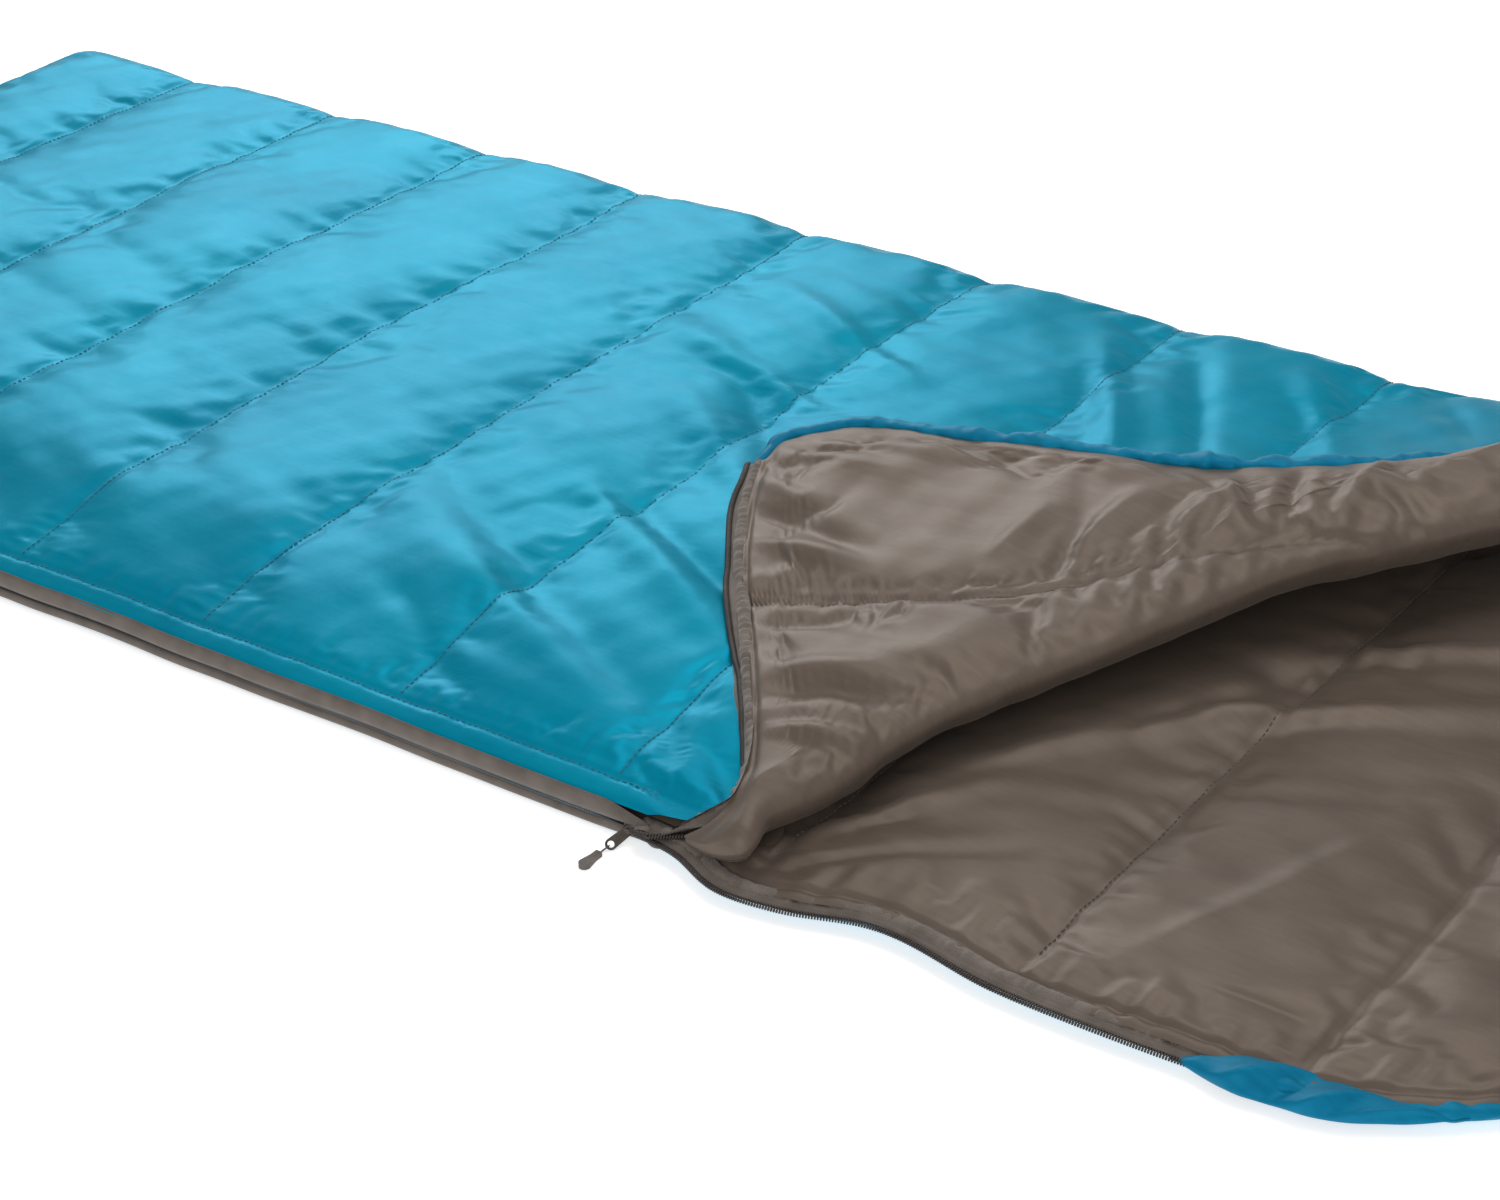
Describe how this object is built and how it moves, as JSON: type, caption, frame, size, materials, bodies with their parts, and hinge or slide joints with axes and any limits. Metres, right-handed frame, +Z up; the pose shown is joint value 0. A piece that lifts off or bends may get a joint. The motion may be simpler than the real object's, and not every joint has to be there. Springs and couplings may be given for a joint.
{
  "type": "rectangular sleeping bag",
  "caption": "Quilted blanket sleeping bag with a rounded head section, a two-way side zip and one corner of its cover folded back to show the lining.",
  "frame": {"origin": "on the ground, under the middle of the bag", "axes": "+X from the foot to the head, +Y from the zip side to the far side, +Z up"},
  "size_m": [2.035, 0.8489, 0.1706],
  "materials": {
    "shell_fabric": "satin",
    "lining_fabric": "satin",
    "wadding": "matte",
    "webbing": "matte",
    "zip_tape": "matte",
    "zip_coil": "satin",
    "slider_metal": "satin",
    "pull_cord": "matte",
    "pull_rubber": "matte"
  },
  "bodies": {
    "bag": {"base_shell": "shell_fabric", "base_fill": "wadding", "base_lining": "lining_fabric", "cover_lining": "lining_fabric", "cover_fill": "wadding", "cover_shell": "shell_fabric", "fold_lining": "lining_fabric", "fold_fill": "wadding", "fold_shell": "shell_fabric", "far_side_seam": "shell_fabric", "foot_seam": "shell_fabric", "hang_loop_far": "webbing", "hang_loop_near": "webbing", "zip_tape_lower": "zip_tape", "zip_coil_lower": "zip_coil", "zip_tape_upper": "zip_tape", "zip_coil_upper": "zip_coil", "zip_stop_foot": "zip_coil", "zip_stop_lower": "zip_coil", "zip_garage": "shell_fabric"},
    "cover_flap": {"flap_lining": "lining_fabric", "flap_fill": "wadding", "flap_shell": "shell_fabric", "head_hem": "shell_fabric", "flap_zip_tape": "zip_tape", "flap_zip_coil": "zip_coil", "zip_stop_upper": "zip_coil"},
    "hood": {"hood_shell": "shell_fabric", "hood_fill": "wadding", "hood_lining": "lining_fabric", "hood_binding": "shell_fabric"},
    "head_slider": {"head_slider_body": "slider_metal", "head_slider_bridge": "slider_metal"},
    "head_pull": {"head_pull_plate": "slider_metal"},
    "head_tab": {"head_pull_cord": "pull_cord", "head_pull_tab": "pull_rubber"},
    "foot_slider": {"foot_slider_body": "slider_metal", "foot_slider_bridge": "slider_metal"},
    "foot_pull": {"foot_pull_plate": "slider_metal"},
    "foot_tab": {"foot_pull_cord": "pull_cord", "foot_pull_tab": "pull_rubber"}
  },
  "joints": [
    {"name": "cover_fold", "type": "hinge", "parent": "bag", "child": "cover_flap", "pos_m": [0.334, -0.4, 0.031], "axis": [0.5057, 0.8595, 0.0742], "range_deg": [0, 179]},
    {"name": "hood_fold", "type": "hinge", "parent": "bag", "child": "hood", "pos_m": [0.78, 0, 0.012], "axis": [0, -1, 0], "range_deg": [0, 90]},
    {"name": "head_slider_travel", "type": "slide", "parent": "bag", "child": "head_slider", "axis": [1, 0, 0], "range_m": [-0.6, 0.44]},
    {"name": "foot_slider_travel", "type": "slide", "parent": "bag", "child": "foot_slider", "axis": [1, 0, 0], "range_m": [0, 0.55]},
    {"name": "head_pull_lift", "type": "hinge", "parent": "head_slider", "child": "head_pull", "pos_m": [0.301, -0.406, 0.009], "axis": [-1, 0, 0], "range_deg": [0, 85]},
    {"name": "head_tab_lift", "type": "hinge", "parent": "head_pull", "child": "head_tab", "pos_m": [0.29521, -0.42191, 0.0026], "axis": [-0.7499, 0.007, 0.6615], "range_deg": [0, 60]},
    {"name": "foot_pull_lift", "type": "hinge", "parent": "foot_slider", "child": "foot_pull", "pos_m": [-0.948, -0.406, 0.009], "axis": [-1, 0, 0], "range_deg": [0, 85]},
    {"name": "foot_tab_lift", "type": "hinge", "parent": "foot_pull", "child": "foot_tab", "pos_m": [-0.95379, -0.42191, 0.0026], "axis": [-0.7499, 0.007, 0.6615], "range_deg": [0, 60]}
  ]
}
